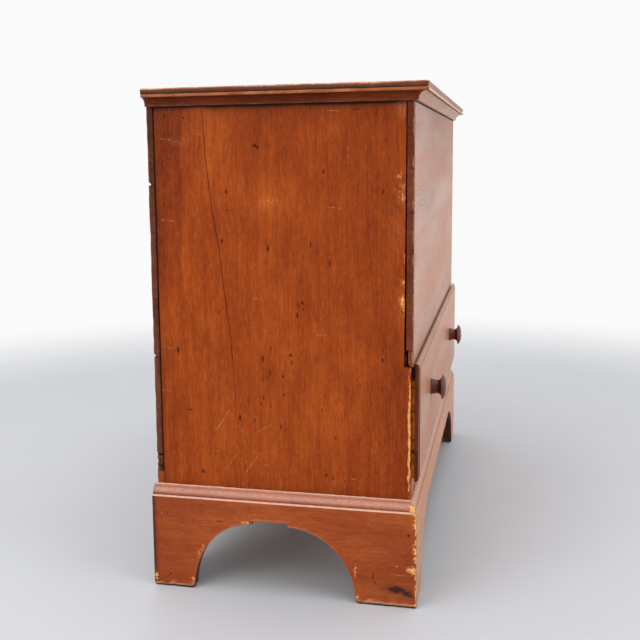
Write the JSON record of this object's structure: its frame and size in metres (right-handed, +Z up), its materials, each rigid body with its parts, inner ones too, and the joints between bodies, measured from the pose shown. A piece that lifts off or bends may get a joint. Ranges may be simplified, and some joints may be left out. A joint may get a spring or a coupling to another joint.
{
  "type": "blanket chest",
  "caption": "Blanket chest with a hinged, moulded lid over a deep well and a lipped, dovetailed drawer with turned knobs below, on a bracket base.",
  "frame": {"origin": "on the floor, under the middle of the whole chest's box", "axes": "+X along the length to the right of someone facing the front, +Y to the back, +Z up"},
  "size_m": [1.078, 0.507, 0.8849],
  "materials": {
    "stained_pine": "old orange-brown stain and worn satin varnish over vertical pine grain",
    "stained_front": "red-brown stain under satin varnish, horizontal grain",
    "stained_edge": "dark brown stained edge and end grain",
    "raw_pine": "bare aged pine",
    "turned_knob": "dark red-brown polished hardwood",
    "iron": "dull dark iron"
  },
  "bodies": {
    "case": {"end_board_left": "stained_pine", "end_board_right": "stained_pine", "front_board": "stained_front", "back_board_top": "stained_edge", "back_board_middle": "stained_edge", "back_board_bottom": "stained_edge", "well_floor": "raw_pine", "front_rail": "stained_front", "drawer_runner_left": "raw_pine", "drawer_runner_right": "raw_pine", "base_front": "stained_front", "base_left": "stained_pine", "base_right": "stained_pine", "rear_bracket_left": "stained_edge", "rear_bracket_right": "stained_edge", "corner_block_left": "raw_pine", "corner_block_right": "raw_pine", "hinge_case_leaf_left": "iron", "hinge_case_leaf_right": "iron", "hinge_pin_left": "iron", "hinge_pin_right": "iron", "hinge_case_screw_left_1": "iron", "hinge_case_screw_left_2": "iron", "hinge_case_screw_right_1": "iron", "hinge_case_screw_right_2": "iron", "back_nail_top_left_upper": "iron", "back_nail_top_left_lower": "iron", "back_nail_middle_left_upper": "iron", "back_nail_middle_left_lower": "iron", "back_nail_bottom_left_upper": "iron", "back_nail_bottom_left_lower": "iron", "back_nail_top_right_upper": "iron", "back_nail_top_right_lower": "iron", "back_nail_middle_right_upper": "iron", "back_nail_middle_right_lower": "iron", "back_nail_bottom_right_upper": "iron", "back_nail_bottom_right_lower": "iron", "floor_nail_left": "iron", "floor_nail_right": "iron", "runner_nail_left": "iron", "runner_nail_right": "iron"},
    "drawer": {"drawer_front": "stained_front", "drawer_side_left": "raw_pine", "drawer_side_right": "raw_pine", "drawer_back": "raw_pine", "drawer_bottom": "raw_pine", "knob_left": "turned_knob", "knob_right": "turned_knob"},
    "lid": {"lid_board": "stained_front", "lid_moulding_front": "stained_front", "lid_moulding_left": "stained_edge", "lid_moulding_right": "stained_edge", "hinge_lid_leaf_left": "iron", "hinge_lid_leaf_right": "iron", "hinge_lid_screw_left_1": "iron", "hinge_lid_screw_left_2": "iron", "hinge_lid_screw_right_1": "iron", "hinge_lid_screw_right_2": "iron"}
  },
  "joints": [
    {"name": "lid_hinge", "type": "hinge", "parent": "case", "child": "lid", "pos_m": [0, 0.25, 0.8621], "axis": [-1, 0, 0], "range_deg": [0, 100]},
    {"name": "drawer_slide", "type": "slide", "parent": "case", "child": "drawer", "axis": [0, -1, 0], "range_m": [0, 0.3]}
  ]
}
